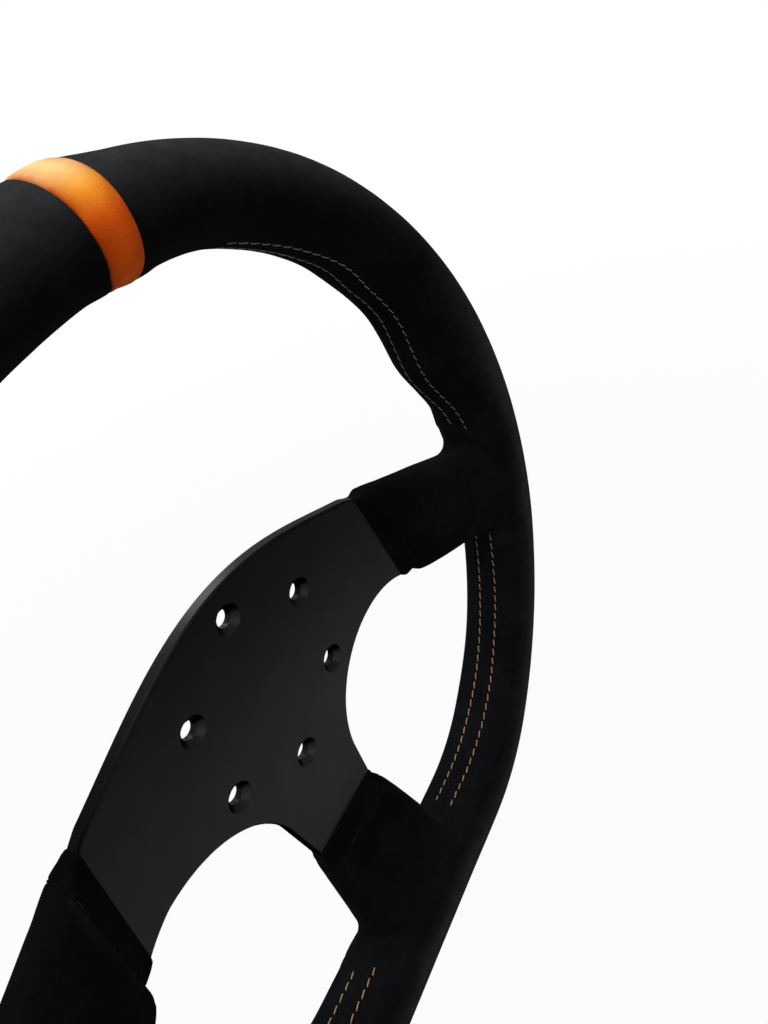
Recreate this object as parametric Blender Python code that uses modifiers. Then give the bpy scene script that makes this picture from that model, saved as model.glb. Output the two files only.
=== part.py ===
"""Flat-bottomed three-spoke racing steering wheel: a bent aluminium spoke plate riveted to a core ring,
foam moulded over both, and a stitched suede cover with a contrast band at the top.

Everything is drawn lying on its back, driver's side up, and stood up at the end: X is three o'clock,
Z is twelve o'clock and the driver looks along +Y. The origin is the middle of the plate's rear face,
which bolts to the hub."""
import math

import bmesh
import bpy
import numpy as np
from mathutils import Matrix, Vector

# Sizes in metres
gap = 0.0003                    # clearance between neighbouring pieces
foam_gap = 0.0006               # clearance under the suede
plate_thickness = 0.005
bolt_circle = 0.070
bolt_count = 6
bolt_hole = 0.0062              # through hole for an M5 countersunk screw
bolt_sink = 0.0107              # mouth of the 90 degree countersink
plate_top = 0.0460              # top of the arched upper edge
arch_radius = 0.136
cutout_radius = 0.0443          # lower cut-outs of the plate
cutout_out = 0.064              # their centres, sideways and down
cutout_down = 0.064
plate_edge = 0.0008             # edge rounding

rim_radius = 0.155              # centre line of the round part
rim_flat = 0.138                # centre line of the flat bottom, below the hub
rim_corner = 0.070              # corners between the two
rim_half_width = 0.014          # over the suede, in the wheel's plane
rim_half_depth = 0.0176         # over the suede, along the axis
rim_forward = 0.0138            # rim's middle, in front of the plate's face
swell_clock = 68.0              # thumb swells, degrees either side of twelve o'clock
swell_spread = 31.0
swell_in = 0.007
swell_back = 0.003

suede = 0.0013
band_start, band_end = -0.4, 3.8          # contrast band, degrees from twelve o'clock
seam_half = 1.6                           # half the open seam on the inner side, degrees of the section
stitch_turn = 14.0                        # stitch rows either side of the seam, degrees of the section
thread_radius = 0.00045

arm_dip = 19.2                  # side arms run down from the level, degrees
arm_offset = 0.0246             # their middle line misses the hub's centre by this
arm_half = 0.015                # half width of an arm inside its sleeve
hem_reach = {"side": 0.0783, "bottom": 0.0774}   # hub centre to the sleeve's edge
hem_lean = 7.0                  # side hems lean from the upright, degrees
hem_width = 0.006
sleeve_half = {"side": 0.0245, "bottom": 0.0225}     # half width of a padded sleeve
sleeve_flare = {"side": 0.002, "bottom": 0.0045}     # extra where it runs into the rim
boot_clock = {"side": (85.5, 110.5), "bottom": (167.3, 192.7)}   # rim covered by the sleeve pieces
crest_run = 0.0025              # hem to the top of the padded step
crest_rise = 0.0054             # padding above the plate's face next to the hem
crest_back = 0.0034             # padding behind the plate's rear face there
sleeve_front_end = 0.0305       # front and back of the padding where it meets the rim, from the rear face
sleeve_back_end = 0.008

ring_width = 0.012              # core ring, flat bar
ring_depth = 0.006
bend_lead = 0.003               # padded step to the arm's bend
tab_length = 0.024              # flat end of each arm behind the ring
rivet_radius = 0.0025
rivet_head = 0.0045
rivet_head_height = 0.0022
rivet_spread = 0.008            # rivets either side of the arm's middle line

# Worked-out sizes
plate_front = plate_thickness
rim_plane = plate_front + rim_forward
foam_in = -(suede + foam_gap)
ring_back = rim_plane - ring_depth / 2
tab_front = ring_back - gap
arm_rise = tab_front - plate_thickness
arch_centre = Vector((0, plate_top - arch_radius))
corner_centre = Vector((math.sqrt((rim_radius - rim_corner) ** 2 - (rim_flat - rim_corner) ** 2),
                        rim_corner - rim_flat))
turns = [180 + seam_half, 180 + stitch_turn, 218, 244, 270, 298, 330, 360, 390, 422, 450, 476, 502,
         540 - stitch_turn, 540 - seam_half]
ring_turns = [180 + stitch_turn, 218, 244, 270, 298, 330, 360, 390, 422, 450, 476, 502, 540 - stitch_turn, 540]

for old in list(bpy.data.objects):
    bpy.data.objects.remove(old)
wheel = bpy.data.collections.new("racing_steering_wheel")
cutters = bpy.data.collections.new("cutters")
bpy.context.scene.collection.children.link(wheel)
bpy.context.scene.collection.children.link(cutters)
upright = Matrix.Rotation(math.pi / 2, 4, "X")


def material(name, colour, roughness, metallic):
    made = bpy.data.materials.new(name)
    made.use_nodes = True
    shader = made.node_tree.nodes["Principled BSDF"]
    shader.inputs["Base Color"].default_value = (*colour, 1)
    shader.inputs["Roughness"].default_value = roughness
    shader.inputs["Metallic"].default_value = metallic
    made.diffuse_color = (*colour, 1)
    return made


finishes = {
    "plate": ("black_anodised_aluminium", (0.025, 0.025, 0.027), 0.45, 0.6),
    "core": ("mill_aluminium", (0.55, 0.56, 0.58), 0.4, 1.0),
    "rivet": ("steel_rivet", (0.42, 0.42, 0.44), 0.35, 1.0),
    "foam": ("black_urethane_foam", (0.035, 0.035, 0.035), 0.9, 0.0),
    "suede": ("black_suede", (0.012, 0.012, 0.014), 0.95, 0.0),
    "band": ("orange_suede", (0.75, 0.24, 0.02), 0.9, 0.0),
    "thread": ("orange_thread", (0.80, 0.36, 0.08), 0.7, 0.0),
    "dark_thread": ("black_thread", (0.02, 0.02, 0.02), 0.7, 0.0),
}


def piece(name, data, finish):
    made = bpy.data.objects.new(name, data)
    look, colour, roughness, metallic = finishes[finish]
    made.data.materials.append(material(f"{look}_{name}", colour, roughness, metallic))
    made.matrix_world = upright
    wheel.objects.link(made)
    return made


def cutter(name, data):
    made = bpy.data.objects.new(name, data)
    made.matrix_world = upright
    made.hide_render = True
    made.display_type = "WIRE"
    cutters.objects.link(made)
    return made


def combine(target, tool, operation="DIFFERENCE"):
    step = target.modifiers.new(tool.name, "BOOLEAN")
    step.solver = "EXACT"
    step.operation = operation
    step.object = tool


def mesh_from(bm, name):
    bmesh.ops.recalc_face_normals(bm, faces=bm.faces)
    made = bpy.data.meshes.new(name)
    bm.to_mesh(made)
    bm.free()
    return made


def loft(name, rings, loop=False, split=False):
    """Skin over equal rings of points; a split ring is an open wall, so its ends are closed in strips."""
    bm = bmesh.new()
    rows = [[bm.verts.new(p) for p in ring] for ring in rings]
    count = len(rows[0])
    pairs = list(zip(rows, rows[1:]))
    if loop:
        pairs.append((rows[-1], rows[0]))
    for a, b in pairs:
        for k in range(count):
            n = (k + 1) % count
            if split and k >= count // 2:
                bm.faces.new((a[k], a[n], b[k]))
                bm.faces.new((a[n], b[n], b[k]))
            else:
                bm.faces.new((a[k], a[n], b[n]))
                bm.faces.new((a[k], b[n], b[k]))
    if not loop:
        for row in (rows[0], rows[-1]):
            if split:
                for k in range(count // 2 - 1):
                    bm.faces.new((row[k], row[k + 1], row[count - 2 - k], row[count - 1 - k]))
            else:
                bm.faces.new(row)
    return mesh_from(bm, name)


def mirrored(data, name):
    made = data.copy()
    made.name = name
    made.transform(Matrix.Scale(-1, 4, (1, 0, 0)))
    made.flip_normals()
    return made


def rods(name, places, profile, sides=20):
    """Straight round cutters at several places, each a stack of (height, radius) rings."""
    bm = bmesh.new()
    for x, y in places:
        rows = []
        for height, radius in profile:
            rows.append([bm.verts.new((x + radius * math.cos(2 * math.pi * k / sides),
                                       y + radius * math.sin(2 * math.pi * k / sides), height))
                         for k in range(sides)])
        for a, b in zip(rows, rows[1:]):
            for k in range(sides):
                n = (k + 1) % sides
                bm.faces.new((a[k], a[n], b[n], b[k]))
        bm.faces.new(rows[0])
        bm.faces.new(rows[-1])
    return mesh_from(bm, name)


# Rim shape: a circle cut by the flat bottom, with an oval section that swells inwards under the thumbs

def rim_at(clock):
    """Point and outward normal on the rim's centre line at a clock angle in degrees."""
    turn = math.radians(clock)
    way = Vector((abs(math.sin(turn)), math.cos(turn)))
    side = -1 if math.sin(turn) < 0 else 1
    if math.atan2(way.x, way.y) <= math.atan2(corner_centre.x, corner_centre.y):
        point, normal = way * rim_radius, way
    elif way.y < 0 and way.x / -way.y * rim_flat <= corner_centre.x:
        point, normal = way * (rim_flat / -way.y), Vector((0, -1))
    else:
        middle = way.dot(corner_centre)
        reach = middle + math.sqrt(middle ** 2 - corner_centre.length_squared + rim_corner ** 2)
        point = way * reach
        normal = (point - corner_centre) / rim_corner
    return Vector((point.x * side, point.y)), Vector((normal.x * side, normal.y))


def swell(clock):
    from_top = abs((clock + 180) % 360 - 180)
    return math.cos(min(abs(from_top - swell_clock) / swell_spread, 1) * math.pi / 2) ** 2


def rim_ring(clock, grow, section):
    centre, out = rim_at(clock)
    ring = []
    for turn in section:
        c, s = math.cos(math.radians(turn)), math.sin(math.radians(turn))
        bump = max(0.0, -c) * swell(clock)
        radial = (rim_half_width + grow) * c - swell_in * bump
        axial = rim_plane + (rim_half_depth + grow) * s - swell_back * bump
        ring.append((centre.x + out.x * radial, centre.y + out.y * radial, axial))
    return ring


def stretch(start, end, parts):
    return list(np.linspace(start, end, parts + 1))


half_gap = math.degrees(gap / 2 / rim_radius)
side_start, side_end = boot_clock["side"]
low_start, low_end = boot_clock["bottom"]
upper_right = stretch(band_end, side_start, 12)
boot_right = stretch(side_start, side_end, 5)
lower_right = stretch(side_end, low_start, 9)
boot_bottom = stretch(low_start, low_end, 4)
lower_left = stretch(low_end, 360 - side_end, 9)
boot_left = stretch(360 - side_end, 360 - side_start, 5)
upper_left = stretch(360 - side_start, 360 + band_start, 12)
band = stretch(band_start, band_end, 2)
all_round = (band[:-1] + upper_right[:-1] + boot_right[:-1] + lower_right[:-1] + boot_bottom[:-1]
             + lower_left[:-1] + boot_left[:-1] + upper_left[:-1])


def inset(stations):
    """The same stretch with half a gap taken off each end."""
    return [stations[0] + half_gap] + stations[1:-1] + [stations[-1] - half_gap]


# Arms: each runs along its own line from under its hem to the rim

class Arm:
    def __init__(self, heading, offset, kind, lean):
        self.along = Vector((math.cos(math.radians(heading)), math.sin(math.radians(heading))))
        self.across = Vector((-self.along.y, self.along.x))
        self.offset = offset
        self.kind = kind
        self.facing = Vector((math.cos(math.radians(lean)), math.sin(math.radians(lean))))
        self.reach = math.sqrt(rim_radius ** 2 - offset ** 2) if kind == "side" else rim_flat
        upper = self.flat_point(hem_reach[kind] + hem_width, 1).dot(self.along)
        lower = self.flat_point(hem_reach[kind] + hem_width, -1).dot(self.along)
        self.crest = (upper + lower) / 2 + crest_run
        self.fold = self.along + self.across * 0.6 * (lower - upper) / 2 / sleeve_half[kind]
        first = self.crest + bend_lead
        tab = min(tab_length, (self.reach - first) / 2)      # a short arm keeps half its run for the bend
        self.bend = self.at(first, 0).dot(self.fold)
        self.level = self.at(self.reach - tab, 0).dot(self.fold)

    def at(self, along, across):
        return self.along * along + self.across * (self.offset + across)

    def flat_point(self, distance, side, grow=0.0):
        """Where a line across the flat plate meets the plate's edge, grown outwards."""
        base = self.facing * distance
        way = Vector((-self.facing.y, self.facing.x)) * side
        if self.kind == "side" and side > 0:
            middle, radius, far = arch_centre, arch_radius + grow, True
        elif self.kind == "side":
            middle, radius, far = Vector((cutout_out, -cutout_down)), cutout_radius - grow, False
        else:
            middle, radius, far = Vector((cutout_out * side, -cutout_down)), cutout_radius - grow, False
        from_middle = base - middle
        b = from_middle.dot(way)
        root = math.sqrt(b * b - from_middle.length_squared + radius * radius)
        return base + way * (-b + root if far else -b - root)

    def lift(self, point):
        """How far the bent arm has risen at a point of the flat blank."""
        way = Vector((point[0], point[1])).dot(self.fold)
        return arm_rise * min(max((way - self.bend) / (self.level - self.bend), 0), 1)


right_arm = Arm(-arm_dip, arm_offset, "side", hem_lean)
bottom_arm = Arm(-90, 0.0, "bottom", -90)


def arc(centre, radius, first, last, parts):
    start = math.atan2(first.y - centre.y, first.x - centre.x)
    end = math.atan2(last.y - centre.y, last.x - centre.x)
    if end - start > math.pi:
        end -= 2 * math.pi
    if start - end > math.pi:
        end += 2 * math.pi
    return [centre + Vector((math.cos(a), math.sin(a))) * radius for a in np.linspace(start, end, parts + 1)]


def arm_outline(arm, grow):
    """The arm's edge from its upper root round the tab to its lower root."""
    half = arm_half + grow
    end = (rim_radius if arm.kind == "side" else rim_flat) + ring_width / 2 - 0.001 + grow
    tip = []
    for across in np.linspace(half, -half, 5):
        along = math.sqrt(end ** 2 - (arm.offset + across) ** 2) if arm.kind == "side" else end
        tip.append(arm.at(along, across))
    root = arm.crest + grow * 2
    return [arm.at(root, half)] + tip + [arm.at(root, -half)]


def plate_blank(name, grow):
    """The plate cut flat as one outline, its sharp edges marked for rounding, then its three arms bent
    forwards to the ring."""
    neck = hem_width - 0.001 + grow * 2
    upper = right_arm.flat_point(hem_reach["side"] + neck, 1, grow)
    lower = right_arm.flat_point(hem_reach["side"] + neck, -1, grow)
    low = bottom_arm.flat_point(hem_reach["bottom"] + neck, 1, grow)
    top = Vector((0, plate_top + grow))
    half = arc(arch_centre, arch_radius + grow, top, upper, 16)
    half += arm_outline(right_arm, grow)
    half += arc(Vector((cutout_out, -cutout_down)), cutout_radius - grow, lower, low, 24)
    tail = arm_outline(bottom_arm, grow)
    half += tail[:3]
    outline = half + [Vector((0, tail[3].y))] + [Vector((-p.x, p.y)) for p in reversed(half[1:])]
    bm = bmesh.new()
    face = bm.faces.new([bm.verts.new((p.x, p.y, -grow)) for p in outline])
    grown = bmesh.ops.extrude_face_region(bm, geom=[face])
    for v in (g for g in grown["geom"] if isinstance(g, bmesh.types.BMVert)):
        v.co.z = plate_thickness + grow
    left_fold = Vector((-right_arm.fold.x, right_arm.fold.y))
    for arm, fold in ((right_arm, right_arm.fold), (right_arm, left_fold), (bottom_arm, bottom_arm.fold)):
        for where in (arm.bend, arm.level):
            near = [f for f in bm.faces if max(v.co.xy.dot(fold) for v in f.verts) > where]
            geom = set(near)
            for f in near:
                geom.update(f.edges)
                geom.update(f.verts)
            bmesh.ops.bisect_plane(bm, geom=list(geom), dist=1e-7, plane_no=fold.to_3d(),
                                   plane_co=(fold * where / fold.length_squared).to_3d())
    bmesh.ops.recalc_face_normals(bm, faces=bm.faces)
    weight = bm.edges.layers.float.new("bevel_weight_edge")
    for e in bm.edges:
        e[weight] = float(e.calc_face_angle(0) > math.radians(50))
    for v in bm.verts:
        turned = Vector((abs(v.co.x), v.co.y))
        arm = bottom_arm if abs(v.co.x) < arm_half * 1.5 and v.co.y < 0 else right_arm
        v.co.z += arm.lift(turned)
    return mesh_from(bm, name)


def sleeve_stations(arm, grow):
    """Sections of the padded sleeve from the hem's edge into the rim, as (upper, lower, back, front, corner)."""
    found = []
    for distance in (hem_reach[arm.kind], hem_reach[arm.kind] + hem_width):
        wall = suede + gap + grow
        found.append((arm.flat_point(distance, 1, wall), arm.flat_point(distance, -1, wall),
                      -wall, plate_front + wall, max(wall, gap)))
    upper, lower = found[-1][0], found[-1][1]
    skew = (lower - upper).dot(arm.along) / 2
    last = arm.reach - ring_width / 2
    for f in (0.0, 0.2, 0.45, 0.7, 0.88, 1.0):
        along = arm.crest + f * (last - arm.crest)
        half = sleeve_half[arm.kind] + sleeve_flare[arm.kind] * f * f + grow
        back = -crest_back + f * (sleeve_back_end + crest_back) - grow
        front = plate_front + crest_rise + f * (sleeve_front_end - plate_front - crest_rise) + grow
        corner = min(0.004 + f * 0.025, 0.45 * (front - back))
        lean = skew * (1 - f)
        found.append((arm.at(along - lean, half), arm.at(along + lean, -half), back, front, corner))
    return found


def sleeve_ring(station):
    upper, lower, back, front, corner = station
    middle = (upper + lower) / 2
    way = (upper - lower).normalized()
    half, tall = (upper - lower).length / 2, (front - back) / 2
    ring = []
    for quarter, (sx, sz) in enumerate(((1, 1), (-1, 1), (-1, -1), (1, -1))):
        for step in range(4):
            a = math.pi / 2 * (quarter + step / 3)
            p = middle + way * (sx * (half - corner) + corner * math.cos(a))
            ring.append((p.x, p.y, back + tall + sz * (tall - corner) + corner * math.sin(a)))
    return ring


def sleeve(name, arm, grow, start=0):
    return loft(name, [sleeve_ring(s) for s in sleeve_stations(arm, grow)[start:]])


def sleeve_inside(name, arm):
    """Room inside a sleeve: the plate's edge under the hem, then the padding, open past the hem's edge."""
    hem, hem_end = sleeve_stations(arm, -suede)[:2]
    before = tuple(p - arm.facing * 0.006 for p in hem[:2]) + hem[2:]
    return loft(name, [sleeve_ring(s) for s in [before, hem, hem_end] + sleeve_stations(arm, -suede)[2:]])


def rim_solid(name, stations, grow):
    return loft(name, [rim_ring(c, grow, ring_turns) for c in stations])


def cover(name, stations):
    """Suede laid round the rim, open along the seam on its inner side."""
    rings = []
    for clock in stations:
        rings.append(rim_ring(clock, 0.0, turns) + rim_ring(clock, -suede, turns)[::-1])
    return loft(name, rings, split=True)


def bar(name, grow):
    half_wide, half_tall = ring_width / 2 + grow, ring_depth / 2 + grow
    rings = []
    for clock in all_round:
        centre, out = rim_at(clock)
        rings.append([(centre.x + out.x * r, centre.y + out.y * r, rim_plane + z)
                      for r, z in ((half_wide, half_tall), (-half_wide, half_tall),
                                   (-half_wide, -half_tall), (half_wide, -half_tall))])
    return loft(name, rings, loop=True)


# Plate and core
plate = piece("spoke_plate", plate_blank("spoke_plate", 0.0), "plate")
rounded = plate.modifiers.new("edge", "BEVEL")
rounded.width = plate_edge
rounded.segments = 2
rounded.limit_method = "WEIGHT"
holes = [(bolt_circle / 2 * math.sin(2 * math.pi * k / bolt_count),
          bolt_circle / 2 * math.cos(2 * math.pi * k / bolt_count)) for k in range(bolt_count)]
over = 0.001
sink_depth = (bolt_sink - bolt_hole) / 2
bolt_cut = cutter("bolt_holes", rods("bolt_holes", holes, [
    (-over, bolt_hole / 2), (plate_front - sink_depth, bolt_hole / 2), (plate_front + over, bolt_sink / 2 + over)]))
combine(plate, bolt_cut)

rivet_places = {}
for tag, arm, flip in (("right", right_arm, 1), ("left", right_arm, -1), ("bottom", bottom_arm, 1)):
    for end, across in (("a", rivet_spread), ("b", -rivet_spread)):
        along = arm.reach
        if arm.kind == "side":
            along = math.sqrt(rim_radius ** 2 - (arm.offset + across) ** 2)
        spot = arm.at(along, across)
        rivet_places[f"rivet_{tag}_{end}"] = (spot.x * flip, spot.y)
spots = list(rivet_places.values())
tab_back = tab_front - plate_thickness
ring_front = rim_plane + ring_depth / 2
rivet_cut = cutter("rivet_holes", rods("rivet_holes", spots, [
    (tab_back - over, rivet_radius + gap), (ring_front + over, rivet_radius + gap)], 12))
combine(plate, rivet_cut)

core = piece("rim_core_ring", bar("rim_core_ring", 0.0), "core")
combine(core, rivet_cut)

for name, (x, y) in rivet_places.items():
    low, high = tab_back - gap, ring_front + gap
    edge = rivet_head_height * 0.45
    outline = [(0, high + rivet_head_height), (rivet_head * 0.6, high + rivet_head_height * 0.85),
               (rivet_head, high + edge), (rivet_head, high), (rivet_radius, high),
               (rivet_radius, low), (rivet_head, low), (rivet_head, low - edge),
               (rivet_head * 0.6, low - rivet_head_height * 0.85), (0, low - rivet_head_height)]
    data = bpy.data.meshes.new(name)
    data.from_pydata([(r, 0, z) for r, z in outline], [(k, k + 1) for k in range(len(outline) - 1)], [])
    rivet = piece(name, data, "rivet")
    rivet.matrix_world = upright @ Matrix.Translation((x, y, 0))
    turned = rivet.modifiers.new("turned", "SCREW")
    turned.steps = turned.render_steps = 12
    turned.use_merge_vertices = True
    turned.merge_threshold = 0.00001

# Foam moulded over the ring and the arms
foam = piece("grip_foam", loft("grip_foam", [rim_ring(c, foam_in, ring_turns) for c in all_round], loop=True), "foam")
side_pad = sleeve("side_pad", right_arm, foam_in, 2)
pads = (cutter("pad_right", side_pad), cutter("pad_left", mirrored(side_pad, "pad_left")),
        cutter("pad_bottom", sleeve("pad_bottom", bottom_arm, foam_in, 2)))
for pad in pads:
    combine(foam, pad, "UNION")
combine(foam, cutter("ring_room", bar("ring_room", gap)))
combine(foam, cutter("arm_room", plate_blank("arm_room", gap)))
combine(foam, cutter("rivet_room", rods("rivet_room", spots, [
    (tab_back - gap * 2 - rivet_head_height, rivet_head + gap),
    (ring_front + gap * 2 + rivet_head_height, rivet_head + gap)], 12)))

# Suede cover: four panels and the contrast band round the rim, and a sleeve over each arm
panel_right = cover("rim_cover_upper_right", inset(upper_right))
panel_low = cover("rim_cover_lower_right", inset(lower_right))
piece("rim_cover_upper_right", panel_right, "suede")
piece("rim_cover_lower_right", panel_low, "suede")
piece("rim_cover_lower_left", mirrored(panel_low, "rim_cover_lower_left"), "suede")
piece("rim_cover_upper_left", cover("rim_cover_upper_left", inset(upper_left)), "suede")
piece("centre_band", cover("centre_band", inset(band)), "band")


def boot(name, stations, body, room, flip=False):
    shell = rim_solid(name, inset(stations), 0.0)
    step = stations[1] - stations[0]
    hollow = rim_solid(name + "_hollow", [stations[0] - step] + stations + [stations[-1] + step], -suede)
    if flip:
        shell, hollow = mirrored(shell, name), mirrored(hollow, name + "_hollow")
    made = piece(name, shell, "suede")
    combine(made, cutter(name + "_body", body), "UNION")
    combine(made, cutter(name + "_hollow", hollow))
    combine(made, cutter(name + "_room", room))


side_body = sleeve("side_body", right_arm, 0.0)
side_room = sleeve_inside("side_room", right_arm)
boot("spoke_sleeve_right", boot_right, side_body, side_room)
boot("spoke_sleeve_left", boot_right, mirrored(side_body, "left_body"), mirrored(side_room, "left_room"), True)
boot("spoke_sleeve_bottom", boot_bottom, sleeve("low_body", bottom_arm, 0.0), sleeve_inside("low_room", bottom_arm))


# Stitching: two rows on each stretch of rim, and one row along each hem
stitched = {"upper_right": upper_right, "lower_right": lower_right, "lower_left": lower_left,
            "upper_left": upper_left}
lie = gap * 1.5 + thread_radius
thread_turn = math.degrees(thread_radius / rim_half_width)
for tag, stations in stitched.items():
    inner = [stations[0] + 1.0] + stations[1:-1] + [stations[-1] - 1.0]
    for row, turn in (("front", 180 - stitch_turn), ("rear", 180 + stitch_turn)):
        rings = []
        for clock in inner:
            sides = rim_ring(clock, lie, [turn - thread_turn, turn + thread_turn])
            top = rim_ring(clock, lie + thread_radius, [turn])
            under = rim_ring(clock, lie - thread_radius, [turn])
            rings.append([sides[0], under[0], sides[1], top[0]])
        piece(f"stitch_{row}_{tag}", loft(f"stitch_{row}_{tag}", rings), "thread")


def hem_line(arm):
    hem, hem_end = sleeve_stations(arm, lie)[:2]
    return [tuple(np.array(a) * 0.35 + np.array(b) * 0.65) for a, b in zip(sleeve_ring(hem), sleeve_ring(hem_end))]


def hem_thread(name, points):
    line = bpy.data.curves.new(name, "CURVE")
    line.dimensions = "3D"
    line.bevel_depth = thread_radius
    line.bevel_resolution = 0
    spline = line.splines.new("POLY")
    spline.points.add(len(points) - 1)
    for slot, p in zip(spline.points, points):
        slot.co = (*p, 1)
    spline.use_cyclic_u = True
    piece(name, line, "dark_thread")


side_hem = hem_line(right_arm)
hem_thread("hem_stitch_right", side_hem)
hem_thread("hem_stitch_left", [(-x, y, z) for x, y, z in side_hem])
hem_thread("hem_stitch_bottom", hem_line(bottom_arm))
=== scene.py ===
"""Flat-bottomed racing steering wheel in black suede with an orange band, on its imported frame.

X is three o'clock, Z is twelve o'clock and the driver looks along +Y. The origin is the middle of the
plate's rear face. Shapes are drawn lying flat, driver's side up, and stood up by stand()."""
import math

import bmesh
import bpy
import numpy as np
from mathutils import Matrix, Vector


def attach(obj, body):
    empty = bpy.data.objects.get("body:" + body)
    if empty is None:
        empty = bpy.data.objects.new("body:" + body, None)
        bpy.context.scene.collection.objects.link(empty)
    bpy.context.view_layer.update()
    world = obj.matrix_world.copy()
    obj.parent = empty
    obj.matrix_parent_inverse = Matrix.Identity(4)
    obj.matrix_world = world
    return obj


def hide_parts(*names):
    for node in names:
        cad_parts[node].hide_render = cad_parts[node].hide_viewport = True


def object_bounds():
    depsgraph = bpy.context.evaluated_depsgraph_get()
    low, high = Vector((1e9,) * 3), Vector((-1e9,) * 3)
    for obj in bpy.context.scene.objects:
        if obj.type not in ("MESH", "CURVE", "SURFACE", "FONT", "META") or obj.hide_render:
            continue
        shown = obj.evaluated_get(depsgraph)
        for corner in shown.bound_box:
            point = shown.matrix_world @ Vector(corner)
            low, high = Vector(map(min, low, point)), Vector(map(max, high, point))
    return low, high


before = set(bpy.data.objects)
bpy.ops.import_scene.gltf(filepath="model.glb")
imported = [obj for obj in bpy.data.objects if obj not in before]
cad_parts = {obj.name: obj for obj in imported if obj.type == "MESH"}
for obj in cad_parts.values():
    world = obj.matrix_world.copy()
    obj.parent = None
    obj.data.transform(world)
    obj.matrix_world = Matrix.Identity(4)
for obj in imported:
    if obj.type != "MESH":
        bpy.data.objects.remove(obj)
cad_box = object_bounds()

# Rim core ring. A flat aluminium bar is bent to the rim's D shape and closed with a weld.
# It is left as it came from the mill, because the foam hides it.


class Wire:
    """A socket in one material's nodes. Arithmetic adds Math nodes, and node() adds any other."""

    def __init__(self, tree, socket=None):
        self.tree = tree
        self.socket = socket

    def node(self, kind, settings=None, inputs=None, output=0):
        made = self.tree.nodes.new("ShaderNode" + kind)
        for key, value in (settings or {}).items():
            if key == "stops":
                for stop, (place, colour) in zip(made.color_ramp.elements, value):
                    stop.position = place
                    stop.color = colour
            else:
                setattr(made, key, value)
        for key, value in (inputs or {}).items():
            if isinstance(value, Wire):
                self.tree.links.new(value.socket, made.inputs[key])
            else:
                made.inputs[key].default_value = value
        return Wire(self.tree, made.outputs[output])

    def math(self, operation, *values):
        return self.node("Math", {"operation": operation}, dict(enumerate(values)))

    def __add__(self, other):
        return self.math("ADD", self, other)

    def __sub__(self, other):
        return self.math("SUBTRACT", self, other)

    def __rsub__(self, other):
        return self.math("SUBTRACT", other, self)

    def __mul__(self, other):
        return self.math("MULTIPLY", self, other)

    __radd__ = __add__
    __rmul__ = __mul__

    def ease(self, low, high):
        """0 below low and 1 above high, with a soft step between them."""
        return self.node("MapRange", {"interpolation_type": "SMOOTHSTEP"}, {0: self, 1: low, 2: high})

    def blend(self, first, second):
        """The first colour where this is 0, and the second where it is 1."""
        return self.node("Mix", {"data_type": "RGBA"}, {0: self, 6: first, 7: second}, 2)

    def place(self):
        return self.node("TexCoord", output="Object")

    def noise(self, size, where=None, detail=2.0, rough=0.5):
        """Cloudy values from 0 to 1, with lumps of a size in metres."""
        return self.node("TexNoise", {}, {"Vector": where or self.place(), "Scale": 1 / size,
                                          "Detail": detail, "Roughness": rough})

    def stretched(self, where, size):
        """A place divided by a size in metres on each axis, for grain that runs one way."""
        return self.node("VectorMath", {"operation": "DIVIDE"}, {0: where, 1: size})

    def raised(self, height, deep):
        """A surface normal from heights between 0 and 1, where 1 stands deep metres proud."""
        return self.node("Bump", {}, {"Strength": 1.0, "Distance": deep, "Height": height})


def surface(name, fixed, paint):
    """A material with fixed values on the shader's own sockets, and what paint() makes on the others."""
    made = bpy.data.materials.new(name)
    made.use_nodes = True
    shader = made.node_tree.nodes["Principled BSDF"]
    for key, value in fixed.items():
        shader.inputs[key].default_value = value
    for key, value in paint(Wire(made.node_tree)).items():
        made.node_tree.links.new(value.socket, shader.inputs[key])
    return made


def mill_paint(w):
    streak = w.noise(1.0, w.stretched(w.place(), (0.02, 0.0004, 0.02)), 3.0)
    scuff = w.noise(0.006, detail=4.0).ease(0.45, 0.75)
    return {"Base Color": streak.blend((0.52, 0.53, 0.55, 1), (0.66, 0.67, 0.69, 1)),
            "Roughness": streak * 0.18 + scuff * 0.12 + 0.26, "Normal": w.raised(streak, 0.00003)}


def dress(node, look):
    """Gives a kept CAD node its finish."""
    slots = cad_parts[node].data.materials
    slots.clear()
    slots.append(look)


mill_aluminium = surface("mill_aluminium", {"Metallic": 1.0}, mill_paint)
dress("rim_core_ring", mill_aluminium)

# Spoke plate. Cut from 5 mm aluminium plate, drilled and countersunk for six screws, its edges broken,
# its arms bent forwards to meet the ring, then bead blasted and anodised black.

plate_thickness = 0.005
bolt_circle = 0.070
bolt_hole = 0.0062
bolt_sink = 0.0107
plate_top = 0.0460
arch_radius = 0.136
cutout_radius = 0.0423
cutout_out = 0.0629
cutout_down = 0.0619
edge_round = 0.0013
foot_lean = math.radians(10.3)
foot_flare = 0.0006
arm_half = 0.015
hem_width = 0.006
under_hem = 0.0022
rim_radius = 0.155
rim_flat = 0.138
ring_width = 0.012
arm_rise = 0.0105
arch_centre = Vector((0, plate_top - arch_radius))
cutout_centre = Vector((cutout_out, -cutout_down))
foot_half = cutout_out - cutout_radius
foot_side = cutout_centre + Vector((-math.cos(foot_lean), math.sin(foot_lean))) * cutout_radius


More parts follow.
